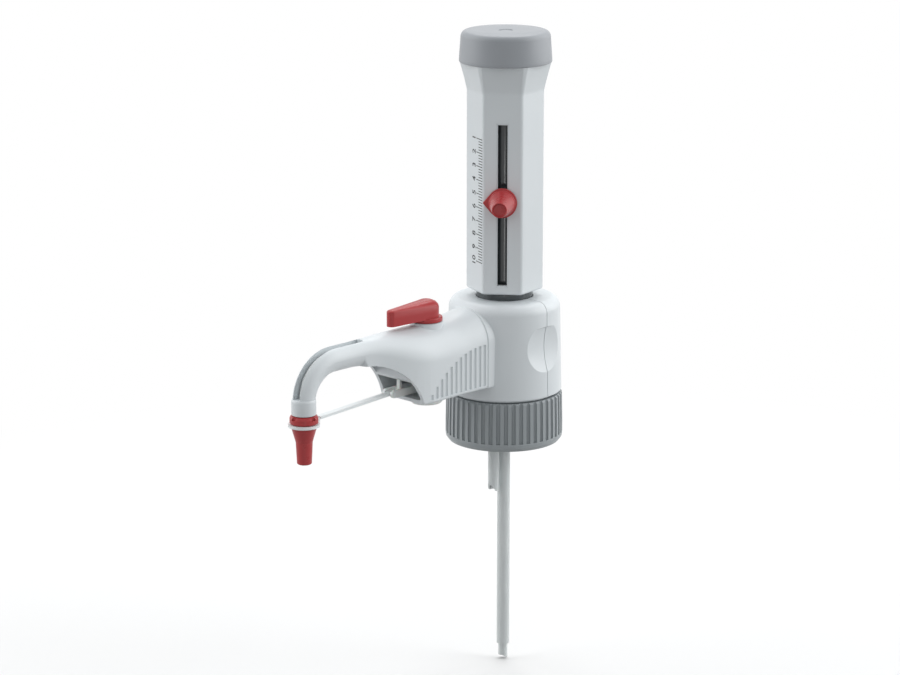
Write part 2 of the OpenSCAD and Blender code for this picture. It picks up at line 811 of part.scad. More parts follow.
// Red lever: a disc with a wedge-shaped grip that points to the spout when open
module valve_lever() {
  hub_r = disc_r - 1.6;
  tip_r = 2.3;
  tip_x = lever_len - tip_r;
  base = disc_z + disc_t;
  color(red)
    translate([-lever_x, 0, 0]) {
      translate([0, 0, disc_z]) cylinder(r = disc_r, h = disc_t - 0.5);
      translate([0, 0, disc_z + disc_t - 0.5]) cylinder(r1 = disc_r, r2 = disc_r - 0.5, h = 0.5);
      hull() {
        translate([0, 0, base - 0.2]) cylinder(r = hub_r, h = lever_h - 2, $fn = 32);
        translate([0, 0, base + lever_h - 2]) cylinder(r1 = hub_r - 0.2, r2 = hub_r - 0.9, h = 1.1, $fn = 32);
        translate([0, 0, base + lever_h - 1]) cylinder(r1 = hub_r - 1, r2 = hub_r - 3, h = 1, $fn = 32);
        translate([-tip_x, 0, base - 1]) cylinder(r = tip_r, h = lever_h - 1.3, $fn = 32);
        translate([-tip_x, 0, base + lever_h - 2]) cylinder(r = tip_r - 0.9, h = 0.8, $fn = 32);
      }
    }
}

module discharge_valve_body() {
  color(white)
    difference() {
      rod_x(valve_r, valve_x, valve_x + valve_len, hose_z);
      rod_x(valve_seat_bore, valve_x - over, valve_seat_x + over, hose_z);
      rod_x(valve_bore, valve_seat_x, valve_x + valve_len + over, hose_z);
    }
}

module discharge_ball() {
  color(white) translate([-ball_x, 0, hose_z]) sphere(r = ball_r);
}

// Return spring of the discharge valve, a round wire wound along the valve
module discharge_spring() {
  turns = 5;
  wire = 0.22;
  coil = 1.45;
  from = ball_x + ball_r + 0.95;
  long = valve_x + valve_len - from - 0.6;
  steps = turns * 12;
  color(steel)
    loft([
      for (i = [0:steps])
        [for (j = [0:5])
          let (a = i * 30, r = coil + wire * cos(j * 60))
            [-from - long * i / steps - wire * sin(j * 60), r * cos(a), hose_z + r * sin(a)]]
    ]);
}

module discharge_tube() {
  color(clear)
    difference() {
      hose_path(hose_r, valve_x + valve_len + fit, nozzle_h - nozzle_lap + hose_lift + 15.9);
      hose_path(hose_bore, valve_x + valve_len - over, nozzle_h - nozzle_lap + hose_lift + 15.9 + over);
    }
}

// Spout

module nozzle_ring() {
  color(pale)
    translate([-reach, 0, 0])
      difference() {
        union() {
          translate([0, 0, nozzle_z]) cylinder(r = nozzle_r, h = nozzle_h - 0.6 - fit);
          translate([0, 0, nozzle_top - 0.6 - fit]) cylinder(r1 = nozzle_r, r2 = nozzle_r - 0.5, h = 0.6);
          translate([0, 0, nozzle_z - spigot_len]) cylinder(r = tip_spigot_r, h = spigot_len + over);
        }
        translate([0, 0, nozzle_z - 2 * spigot_len]) cylinder(r = hose_r + fit, h = 4 * nozzle_h + 20);
      }
}

module tip_cap() {
  groove_z = tip_flange_z - groove_h;
  waist_z = groove_z - 6.8;
  color(red)
    translate([-reach, 0, 0])
      difference() {
        rotate_extrude()
          polygon([
            [0, tip_z], [2.9, tip_z], [3.3, tip_z + 0.4], [3.75, waist_z],
            [5.6, groove_z - 0.4], [5.3, groove_z], [5, groove_z], [5, tip_flange_z],
            [flange_r - 0.4, tip_flange_z], [flange_r, tip_flange_z + 0.4],
            [flange_r, tip_flange_z + flange_h - 1.3], [flange_r - 0.4, tip_flange_z + flange_h - 0.4],
            [flange_r - 1.2, tip_flange_z + flange_h],
            [0, tip_flange_z + flange_h]
          ]);
        translate([0, 0, nozzle_z - spigot_len - 0.5]) cylinder(r = tip_spigot_r + 0.15, h = 3 * spigot_len);
        translate([0, 0, tip_z + 3]) cylinder(r = hose_r + 0.3, h = tip_cap_len);
        for (i = [0:3])
          rotate([0, 0, i * 90])
            translate([flange_r, 0, tip_flange_z + flange_h - 1.6]) cylinder(r = 1.1, h = 2 * flange_h, $fn = 24);
      }
}

module cap_seal() {
  color(white) translate([-reach, 0, tip_z + 3 + fit]) cylinder(r = hose_r + 0.25, h = 0.8);
}

module tether_ring() {
  color(clear)
    translate([-reach, 0, 0])
      difference() {
        union() {
          translate([0, 0, tether_z]) cylinder(r = tether_r, h = tether_t);
          translate([0, -tether_w / 2, tether_z]) cube([tether_r + 1.2, tether_w, tether_t]);
          translate([tether_r, -tether_w / 2, tether_z]) cube([1.2, tether_w, tether_t + strap_rise + 0.2]);
        }
        translate([0, 0, tether_z - over]) cylinder(r = 5 + free, h = tether_t + 2 * over);
      }
}

// Strap between the clip and the ring, with a round pin that turns in the clip
module tether_strap() {
  run = strap_x - hinge_x;
  rise = hinge_z - strap_z;
  color(clear) {
    translate([-hinge_x, 0, hinge_z]) rotate([0, -atan2(rise, run), 0])
      translate([-norm([run, rise]) + 0.3, -tether_w / 2, -tether_t / 2])
        cube([norm([run, rise]) - 0.3, tether_w, tether_t]);
    translate([-hinge_x, clip_w, hinge_z]) rotate([90, 0, 0]) cylinder(r = pin_r, h = 2 * clip_w);
  }
}

// Clip under the arm: a plate on the valve barrel with two ears beside the strap,
// and a post that props the discharge valve
module tether_clip() {
  gap = tether_w / 2 + 0.2;
  post_x = hinge_x - 5.2;
  post_top = hose_z - valve_r - fit;
  color(white)
    difference() {
      union() {
        translate([-hinge_x, -clip_w, hinge_z - ear_r]) cube([hinge_x - lever_x, 2 * clip_w, 2 * ear_r]);
        translate([-hinge_x, clip_w, hinge_z]) rotate([90, 0, 0]) cylinder(r = ear_r, h = 2 * clip_w);
        translate([-post_x, -1, hinge_z]) cube([1.4, 2, post_top - hinge_z]);
      }
      translate([-lever_x, 0, barrel_z]) cylinder(r = barrel_r + fit, h = block_h);
      translate([-hinge_x - 3, -gap, hinge_z - 3]) cube([8, 2 * gap, 6]);
      translate([-hinge_x, 2 * clip_w, hinge_z]) rotate([90, 0, 0]) cylinder(r = pin_r + fit, h = 4 * clip_w);
    }
}

// Filling valve and tubes

module filling_valve_body() {
  color(white)
    difference() {
      union() {
        translate([0, 0, fill_valve_z]) cylinder(r = fill_valve_r, h = fill_valve_top - fill_valve_z);
        translate([0, 0, fill_valve_z - 6]) cylinder(r = fill_spigot_r, h = 6 + over);
      }
      translate([0, 0, fill_seat_z - 2]) cylinder(r = fill_chamber_r, h = fill_valve_top - fill_seat_z - 0.5);
      translate([0, 0, fill_valve_z - 7]) cylinder(r = 1.2, h = fill_valve_top - fill_valve_z + 9);
    }
}

module filling_valve_seat() {
  color(white) ring(fill_chamber_r - fit, fill_seat_bore, fill_seat_z - 2 + fit, fill_seat_z);
}

module filling_ball() {
  color(clear) translate([0, 0, fill_ball_z]) sphere(r = fill_ball_r);
}

module filling_tube_upper() {
  color(clear) ring(fill_r, fill_bore, fill_end, fill_valve_z - fit);
}

// Inner tube, which slides in the outer one and is cut at a slant
module filling_tube_lower() {
  low = fill_end - fill_out;
  color(clear)
    difference() {
      ring(fill_bore - fit, fill_bore - 0.7, low, lower_top);
      translate([0, 0, low]) rotate([0, 35, 0])
        translate([-4 * fill_r, -4 * fill_r, -8 * fill_r]) cube([8 * fill_r, 8 * fill_r, 8 * fill_r]);
    }
}

// Short return tube beside the filling tube, with its end cut at a slant
module recirculation_tube() {
  cut = 12 * recirc_r;
  color(clear)
    difference() {
      translate([-recirc_x, 0, 0]) ring(recirc_r, recirc_r - 0.7, -recirc_len, foot_z - 1.5);
      translate([-recirc_x, 0, -recirc_len]) rotate([0, 65, 0])
        translate([-cut, -cut / 2, -cut - 0.5]) cube([2 * cut, cut, cut]);
    }
}

threaded_collar();
rim_seal();
block_core();
front_shell();
rear_shell();
shell_screws();
safety_ring();
glass_cylinder();
cylinder_sleeve();
vent_cover();
vent_filter();
handle_housing();
top_cap();
cap_plug();
rod_nut();
piston_rod();
piston();
piston_seal();
pointer_plate();
clamp_shoe();
thumb_screw();
arm_housing();
outlet_pipe();
valve_barrel();
valve_plug();
valve_lever();
discharge_valve_body();
discharge_ball();
discharge_spring();
discharge_tube();
nozzle_ring();
tip_cap();
cap_seal();
tether_ring();
tether_strap();
tether_clip();
filling_valve_body();
filling_valve_seat();
filling_ball();
filling_tube_upper();
filling_tube_lower();
recirculation_tube();
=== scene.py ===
"""Looks of a bottle-top dispenser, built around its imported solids.

The dispenser stands on the origin: the centre of its seat on the bottle's rim. Its discharge
arm runs along -X, and the slot with the volume pointer faces the camera.
"""
import json
import logging
import math
from dataclasses import dataclass
from enum import Enum
from typing import Callable, Iterable, Sequence

import bmesh
import bpy
from mathutils import Matrix, Vector


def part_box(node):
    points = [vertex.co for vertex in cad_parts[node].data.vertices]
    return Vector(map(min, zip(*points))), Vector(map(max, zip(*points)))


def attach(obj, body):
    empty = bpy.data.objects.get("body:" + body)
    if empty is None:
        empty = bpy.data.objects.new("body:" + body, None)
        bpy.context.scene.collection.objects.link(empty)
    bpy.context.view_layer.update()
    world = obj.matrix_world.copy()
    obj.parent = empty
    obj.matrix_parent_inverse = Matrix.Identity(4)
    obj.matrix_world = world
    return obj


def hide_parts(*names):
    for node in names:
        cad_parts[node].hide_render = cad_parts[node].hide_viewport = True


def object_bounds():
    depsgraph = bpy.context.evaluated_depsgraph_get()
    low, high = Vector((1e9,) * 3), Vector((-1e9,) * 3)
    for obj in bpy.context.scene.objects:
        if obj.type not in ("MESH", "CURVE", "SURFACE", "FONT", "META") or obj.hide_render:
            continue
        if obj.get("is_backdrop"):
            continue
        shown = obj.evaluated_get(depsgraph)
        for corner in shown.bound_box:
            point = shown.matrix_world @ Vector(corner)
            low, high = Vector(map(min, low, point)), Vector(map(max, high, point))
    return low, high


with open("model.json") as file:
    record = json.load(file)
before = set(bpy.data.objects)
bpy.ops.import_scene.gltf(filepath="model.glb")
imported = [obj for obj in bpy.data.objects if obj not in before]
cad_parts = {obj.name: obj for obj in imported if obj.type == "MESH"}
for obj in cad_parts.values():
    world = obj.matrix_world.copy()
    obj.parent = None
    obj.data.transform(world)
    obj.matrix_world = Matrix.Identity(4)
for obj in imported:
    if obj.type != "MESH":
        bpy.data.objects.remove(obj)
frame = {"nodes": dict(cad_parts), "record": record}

LOG = logging.getLogger("dispenser")
MM = 0.001
IMAGE_WIDTH = 900
MERGE_DISTANCE = 0.002 * MM
FULL_TURN = 2 * math.pi
ARC_STEP = math.radians(15)
SMOOTH_ANGLE = math.radians(32)
WAVE_PERIOD = FULL_TURN / 20  # spacing of the wave texture's bands at a scale of 1
HANDLE_FLAT = 15.45 * MM
SLOT_TURN_DEG = 38.7
FACE_STEP_DEG = 60
Colour = tuple[float, float, float, float]
Corner = tuple[float, float, float]
WHITE: Colour = (1.0, 1.0, 1.0, 1.0)


def from_hex(code: str) -> Colour:
    """Turn an sRGB hex colour into a linear one.

    Args:
        code: Six hex digits, such as "d9dde0".

    Returns:
        Linear red, green and blue, with an alpha of 1.
    """
    channels = [int(code[i:i + 2], 16) / 255 for i in (0, 2, 4)]
    linear = [c / 12.92 if c <= 0.04045 else ((c + 0.055) / 1.055) ** 2.4 for c in channels]
    return (linear[0], linear[1], linear[2], 1.0)


def add_node(tree: bpy.types.NodeTree, kind: str, values: dict | None = None,
             links: dict | None = None, **settings: object) -> bpy.types.Node:
    """Add one shader node with its settings, socket values and incoming links.

    Args:
        tree: The material's node tree.
        kind: The node's class name without "ShaderNode".
        values: Socket name or index to the value it holds.
        links: Socket name or index to the output socket that feeds it.
        settings: Properties of the node itself, such as an operation.

    Returns:
        The new node.
    """
    node = tree.nodes.new("ShaderNode" + kind)
    for name, value in settings.items():
        setattr(node, name, value)
    for socket, value in (values or {}).items():
        node.inputs[socket].default_value = value
    for socket, source in (links or {}).items():
        tree.links.new(source, node.inputs[socket])
    return node


class Slot(Enum):
    """The record's material slots that the pieces take their finishes from."""

    HOUSING = "pale_housing"
    CAP = "mid_grey_cap"
    COLLAR = "dark_grey_collar"
    SLEEVE = "charcoal_sleeve"
    RED = "red_control"
    PTFE = "white_fluoropolymer"
    TUBE = "clear_tube"
    TETHER = "clear_tether"
    GLASS = "cylinder_glass"
    CERAMIC = "valve_ceramic"
    STEEL = "fastener_steel"


@dataclass(frozen=True)
class MouldedPlastic:
    """Injection-moulded plastic: a spark-eroded grain, with a slow drift of tone and gloss.

    The mould's grain breaks the highlights up, and handling leaves the gloss uneven. The real
    grain is finer than a pixel, so it is drawn a few times coarser.
    """

    name: str
    colour: str
    shade: str
    roughness: float
    ior: float = 1.50
    grain: float = 0.35 * MM
    grain_depth: float = 0.006 * MM
    drift: float = 38 * MM
    smear: float = 9 * MM
    polish: float = 0.05
    dulling: float = 0.06

    def build(self) -> bpy.types.Material:
        """Make the material, with its grain and drift sized in real millimetres.

        Returns:
            The finished material.
        """
        material, tree, shader, place = new_material(self.name, {"IOR": self.ior})
        tone = patchy(tree, place, self.drift, 3.0, (self.colour, self.shade))
        smear = add_node(tree, "TexNoise",
                         {"Scale": 1 / self.smear, "Detail": 4.0, "Roughness": 0.6},
                         {"Vector": place})
        gloss = add_node(tree, "MapRange", {"From Min": 0.3, "From Max": 0.7,
                                            "To Min": self.roughness - self.polish,
                                            "To Max": self.roughness + self.dulling},
                         {"Value": smear.outputs["Fac"]})
        grain = add_node(tree, "TexNoise", {"Scale": 1 / self.grain, "Detail": 2.0},
                         {"Vector": place})
        bump = add_node(tree, "Bump", {"Strength": 1.0, "Distance": self.grain_depth},
                        {"Height": grain.outputs["Fac"]})
        tree.links.new(tone, shader.inputs["Base Color"])
        tree.links.new(gloss.outputs["Result"], shader.inputs["Roughness"])
        tree.links.new(bump.outputs["Normal"], shader.inputs["Normal"])
        return material


@dataclass(frozen=True)
class TurnedPlastic:
    """White fluoropolymer turned on a lathe: waxy, slightly milky, with fine tool rings."""

    name: str
    colour: str
    shade: str
    roughness: float = 0.42
    ior: float = 1.35
    milkiness: float = 0.12
    milk_depth: float = 1.5 * MM
    cloud: float = 6 * MM
    ring: float = 0.2827 * MM
    ring_depth: float = 0.004 * MM

    def build(self) -> bpy.types.Material:
        """Make the material, with tool marks stacked along the part's own upright axis.

        Returns:
            The finished material.
        """
        material, tree, shader, place = new_material(self.name, {
            "Roughness": self.roughness, "IOR": self.ior,
            "Subsurface Weight": self.milkiness, "Subsurface Scale": self.milk_depth})
        tone = patchy(tree, place, self.cloud, 3.0, (self.colour, self.shade))
        rings = add_node(tree, "TexWave", {"Scale": WAVE_PERIOD / self.ring, "Distortion": 0.6},
                         {"Vector": place}, bands_direction="Z")
        bump = add_node(tree, "Bump", {"Strength": 0.5, "Distance": self.ring_depth},
                        {"Height": rings.outputs["Fac"]})
        tree.links.new(tone, shader.inputs["Base Color"])
        tree.links.new(bump.outputs["Normal"], shader.inputs["Normal"])
        return material


@dataclass(frozen=True)
class ClearPlastic:
    """Translucent extruded or moulded fluoropolymer: smooth and milky, clearer in places."""

    name: str
    colour: str
    cloud: str
    transmission: float
    roughness: float
    ior: float = 1.34
    cloud_size: float = 8 * MM

    def build(self) -> bpy.types.Material:
        """Make the material, with a slow drift of its milky tone.

        Returns:
            The finished material.
        """
        material, tree, shader, place = new_material(self.name, {
            "Roughness": self.roughness, "Transmission Weight": self.transmission,
            "IOR": self.ior})
        tone = patchy(tree, place, self.cloud_size, 2.0, (self.colour, self.cloud))
        tree.links.new(tone, shader.inputs["Base Color"])
        return material


@dataclass(frozen=True)
class GroundCeramic:
    """Ground alumina valve seats and balls: hard, cream white and polished."""

    name: str
    colour: str
    shade: str
    roughness: float = 0.12
    ior: float = 1.76
    mottle: float = 0.6 * MM

    def build(self) -> bpy.types.Material:
        """Make the material, with the faint mottle of a ground ceramic.

        Returns:
            The finished material.
        """
        material, tree, shader, place = new_material(self.name, {
            "Roughness": self.roughness, "IOR": self.ior})
        tone = patchy(tree, place, self.mottle, 2.0, (self.colour, self.shade))
        tree.links.new(tone, shader.inputs["Base Color"])
        return material


@dataclass(frozen=True)
class DrawnSteel:
    """Stainless steel of springs, nuts and screws: bright, with fine scuffs in its gloss."""

    name: str
    colour: str
    scuff: float = 0.25 * MM
    least_roughness: float = 0.22
    most_roughness: float = 0.42

    def build(self) -> bpy.types.Material:
        """Make the material, with scuffs that vary its gloss.

        Returns:
            The finished material.
        """
        material, tree, shader, place = new_material(self.name, {
            "Base Color": from_hex(self.colour), "Metallic": 1.0})
        scuff = add_node(tree, "TexNoise", {"Scale": 1 / self.scuff, "Detail": 2.0},
                         {"Vector": place})
        gloss = add_node(tree, "MapRange", {"To Min": self.least_roughness,
                                            "To Max": self.most_roughness},
                         {"Value": scuff.outputs["Fac"]})
        tree.links.new(gloss.outputs["Result"], shader.inputs["Roughness"])
        return material


@dataclass(frozen=True)
class CylinderGlass:
    """Borosilicate glass of the metering cylinder: clear, with a faint grey-green edge."""

    name: str
    colour: str
    roughness: float = 0.02
    ior: float = 1.473
    wave: float = 14 * MM
    wave_depth: float = 0.02 * MM

    def build(self) -> bpy.types.Material:
        """Make the material, with the slight waviness of drawn glass.

        Returns:
            The finished material.
        """
        material, tree, shader, place = new_material(self.name, {
            "Base Color": from_hex(self.colour), "Roughness": self.roughness,
            "Transmission Weight": 1.0, "IOR": self.ior})
        wave = add_node(tree, "TexNoise", {"Scale": 1 / self.wave, "Detail": 1.0},
                        {"Vector": place})
        bump = add_node(tree, "Bump", {"Strength": 0.3, "Distance": self.wave_depth},
                        {"Height": wave.outputs["Fac"]})
        tree.links.new(bump.outputs["Normal"], shader.inputs["Normal"])
        return material


@dataclass(frozen=True)
class PrintedInk:
    """Pad-printed scale ink: near black, matte, and thinner in places."""

    name: str
    colour: str
    thin: str
    roughness: float = 0.6
    patch: float = 0.8 * MM

    def build(self) -> bpy.types.Material:
        """Make the material, with patches where the ink went on thin.

        Returns:
            The finished material.
        """
        material, tree, shader, place = new_material(self.name, {"Roughness": self.roughness})
        tone = patchy(tree, place, self.patch, 2.0, (self.colour, self.thin))
        tree.links.new(tone, shader.inputs["Base Color"])
        return material


def new_material(name: str, values: dict[str, object]) -> tuple[
        bpy.types.Material, bpy.types.NodeTree, bpy.types.Node, bpy.types.NodeSocket]:
    """Start a node material with one Principled shader.

    Args:
        name: The material's name.
        values: Socket name to the value that the shader has all over.

    Returns:
        The material, its node tree, its shader and the coordinates of the piece itself.
    """
    material = bpy.data.materials.new(name)
    material.use_nodes = True
    tree = material.node_tree
    shader = tree.nodes["Principled BSDF"]
    for socket, value in values.items():
        shader.inputs[socket].default_value = value
    return material, tree, shader, add_node(tree, "TexCoord").outputs["Object"]


def patchy(tree: bpy.types.NodeTree, place: bpy.types.NodeSocket, size: float, detail: float,
           tones: tuple[str, str]) -> bpy.types.NodeSocket:
    """Mix two tones in soft patches.

    Args:
        tree: The material's node tree.
        place: The coordinates that the patches follow.
        size: The patches' size.
        detail: How many finer layers the patches have.
        tones: The two tones, as sRGB hex colours.

    Returns:
        The mixed colour.
    """
    patches = add_node(tree, "TexNoise", {"Scale": 1 / size, "Detail": detail},
                       {"Vector": place})
    tone = add_node(tree, "MixRGB", {1: from_hex(tones[0]), 2: from_hex(tones[1])},
                    {0: patches.outputs["Fac"]})
    return tone.outputs["Color"]


FINISHES = {
    Slot.HOUSING: MouldedPlastic("pale grey polypropylene, satin moulded", "d3d8db", "cbd1d4",
                                 0.36),
    Slot.CAP: MouldedPlastic("mid grey polypropylene, satin moulded", "979ba0", "8d9196", 0.42),
    Slot.COLLAR: MouldedPlastic("dark grey polypropylene, satin moulded", "959b9e", "8d9396",
                                0.40),
    Slot.SLEEVE: MouldedPlastic("charcoal sleeve plastic, glossy", "43494b", "3e4346", 0.10,
                                grain=0.8 * MM, grain_depth=0.0015 * MM),
    Slot.RED: MouldedPlastic("red polypropylene, semi-gloss moulded", "ab3b3d", "a23638", 0.30,
                             ior=1.36, grain=0.6 * MM, grain_depth=0.003 * MM),
    Slot.PTFE: TurnedPlastic("white fluoropolymer, turned", "eceeec", "e2e5e3"),
    Slot.TUBE: ClearPlastic("fluoropolymer tube, extruded", "dfe4e5", "e8ecec", 0.25, 0.22),
    Slot.TETHER: ClearPlastic("clear tether plastic, moulded", "eef2f3", "e6ebec", 0.1, 0.35),
    Slot.GLASS: CylinderGlass("borosilicate glass, drawn", "eef4f2"),
    Slot.CERAMIC: GroundCeramic("alumina ceramic, ground", "efece2", "e4e0d4"),
    Slot.STEEL: DrawnSteel("stainless steel, drawn", "c4c6c9"),
}
MATERIALS = {slot: finish.build() for slot, finish in FINISHES.items()}
INK = PrintedInk("scale ink, pad printed", "1e2022", "303335").build()


@dataclass(frozen=True)
class Viewpoint:
    """The photograph's camera, fitted to the round edges of the cap, block and collar."""

    azimuth_deg: float = -47.0
    distance: float = 1315.4 * MM
    height: float = 365.5 * MM
    pitch_deg: float = 14.268
    yaw_deg: float = -1.093
    focal_px: float = 2936.0
    sensor: float = 36.0
    near: float = 10 * MM

    def place(self) -> None:
        """Create the camera and make it the scene's own."""
        data = bpy.data.cameras.new("camera")
        data.sensor_width = self.sensor
        data.lens = self.focal_px * self.sensor / IMAGE_WIDTH
        data.clip_start = self.near
        camera = bpy.data.objects.new("camera", data)
        bpy.context.scene.collection.objects.link(camera)
        turn = math.radians(self.azimuth_deg)
        spot = Vector((self.distance * math.sin(turn), -self.distance * math.cos(turn),
                       self.height))
        heading = Matrix.Rotation(turn - math.radians(self.yaw_deg), 4, "Z")
        tilt = Matrix.Rotation(math.radians(90 - self.pitch_deg), 4, "X")
        camera.matrix_world = Matrix.Translation(spot) @ heading @ tilt
        bpy.context.scene.camera = camera


@dataclass(frozen=True)
class SoftLamp:
    """One soft box of the studio, aimed at a point on the dispenser's axis.

    Its watts are set so that the dispenser is as bright on each side as in the photograph.
    """

    name: str
    azimuth_deg: float
    elevation_deg: float
    distance: float
    width: float
    height: float
    watts: float
    aim: tuple[float, float, float] = (0, 0, 60 * MM)

    def place(self) -> None:
        """Hang the lamp and turn it to the point that it is aimed at."""
        data = bpy.data.lights.new(self.name, "AREA")
        data.shape = "RECTANGLE"
        data.size = self.width
        data.size_y = self.height
        data.energy = self.watts
        lamp = bpy.data.objects.new(self.name, data)
        turn = math.radians(self.azimuth_deg)
        rise = math.radians(self.elevation_deg)
        away = Vector((math.sin(turn) * math.cos(rise), -math.cos(turn) * math.cos(rise),
                       math.sin(rise)))
        lamp.location = Vector(self.aim) + away * self.distance
        lamp.rotation_euler = (-away).to_track_quat("-Z", "Y").to_euler()
        bpy.context.scene.collection.objects.link(lamp)


@dataclass
class Studio:
    """Plain pale floor, soft lamps and a world that shows as white behind the dispenser."""

    floor_drop: float = 1.0 * MM
    floor_half: float = 12.0
    shadow_reach: float = 0.25
    world_level: float = 0.68
    world_tone: str = "f3f5f6"
    paper: tuple[str, str] = ("dadada", "d9d9d9")
    paper_roughness: float = 0.9
    paper_fibre: float = 2.5 * MM
    floor_bounce: str = "8c8c8c"

    def build(self) -> None:
        """Set up the camera, the lamps, the world and the floor."""
        Viewpoint().place()
        # Azimuth and elevation, then distance, width and height in metres, then watts.
        for lamp in (
            SoftLamp("left box", -124, 18, 1.5, 0.8, 1.2, 2.2),
            SoftLamp("left rear box", -145, 25, 1.5, 1.5, 1.8, 12.0),
            SoftLamp("right box", 32, 18, 1.5, 0.8, 1.2, 6.1),
            SoftLamp("right rear box", 60, 25, 1.5, 1.5, 1.8, 13.5),
            SoftLamp("rear top box", 133, 60, 1.8, 1.2, 1.2, 14.9),
            SoftLamp("slot strip", -48.4, -11, 0.5, 0.03, 0.14, 0.05),
        ):
            lamp.place()
        self.world()
        self.floor()
        bpy.context.scene.view_settings.view_transform = "Standard"

    def seen_white(self, tree: bpy.types.NodeTree, plain: bpy.types.NodeSocket,
                   white: bpy.types.NodeSocket) -> bpy.types.Node:
        """Mix two shaders so that the camera, mirrors and glass see the white one.

        Args:
            tree: The node tree.
            plain: The shader that lights the dispenser.
            white: The shader that is seen.

        Returns:
            The mixing node.
        """
        ray = add_node(tree, "LightPath")
        direct = add_node(tree, "Math", None, {0: ray.outputs["Is Camera Ray"],
                                               1: ray.outputs["Is Transmission Ray"]},
                          operation="MAXIMUM")
        seen = add_node(tree, "Math", None, {0: direct.outputs[0], 1: ray.outputs["Is Glossy Ray"]},
                        operation="MAXIMUM")
        return add_node(tree, "MixShader", None, {0: seen.outputs[0], 1: plain, 2: white})

    def world(self) -> None:
        """Light the scene evenly, and show white where nothing stands."""
        world = bpy.data.worlds.new("studio")
        bpy.context.scene.world = world
        world.use_nodes = True
        tree = world.node_tree
        tree.nodes.clear()
        fill = add_node(tree, "Background", {"Color": from_hex(self.world_tone),
                                             "Strength": self.world_level})
        white = add_node(tree, "Background", {"Color": WHITE, "Strength": 1.0})
        mix = self.seen_white(tree, fill.outputs[0], white.outputs[0])
        add_node(tree, "OutputWorld", None, {"Surface": mix.outputs[0]})

    def floor(self) -> None:
        """Lay the pale floor under the lowest point of the dispenser."""
        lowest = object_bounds()[0][2]
        mesh = bmesh.new()
        bmesh.ops.create_grid(mesh, x_segments=1, y_segments=1, size=self.floor_half)
        bmesh.ops.translate(mesh, verts=mesh.verts, vec=(0, 0, lowest - self.floor_drop))
        data = bpy.data.meshes.new("floor")
        mesh.to_mesh(data)
        mesh.free()
        floor = bpy.data.objects.new("floor", data)
        bpy.context.scene.collection.objects.link(floor)
        data.materials.append(self.studio_paper())
        floor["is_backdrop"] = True

    def studio_paper(self) -> bpy.types.Material:
        """Make the floor's paper, which runs into plain white away from the dispenser's shadow.

        What the paper throws back at the dispenser is muted, so that its sides keep their shading.

        Returns:
            The finished material.
        """
        material, tree, shader, place = new_material("studio paper, matte",
                                                     {"Roughness": self.paper_roughness})
        tone = patchy(tree, place, self.paper_fibre, 2.0, self.paper)
        tree.links.new(tone, shader.inputs["Base Color"])
        glow = add_node(tree, "Emission", {"Color": WHITE, "Strength": 1.0})
        away = add_node(tree, "VectorMath", None, {0: place}, operation="LENGTH")
        far = add_node(tree, "MapRange", {"From Min": self.shadow_reach,
                                          "From Max": 2 * self.shadow_reach},
                       {"Value": away.outputs["Value"]})
        muted = add_node(tree, "BsdfDiffuse", {"Color": from_hex(self.floor_bounce)})
        near = self.seen_white(tree, muted.outputs[0], shader.outputs[0])
        seen = self.seen_white(tree, muted.outputs[0], glow.outputs[0])
        mix = add_node(tree, "MixShader", None, {0: far.outputs["Result"], 1: near.outputs[0],
                                                 2: seen.outputs[0]})
        tree.links.new(mix.outputs[0], tree.nodes["Material Output"].inputs["Surface"])
        return material


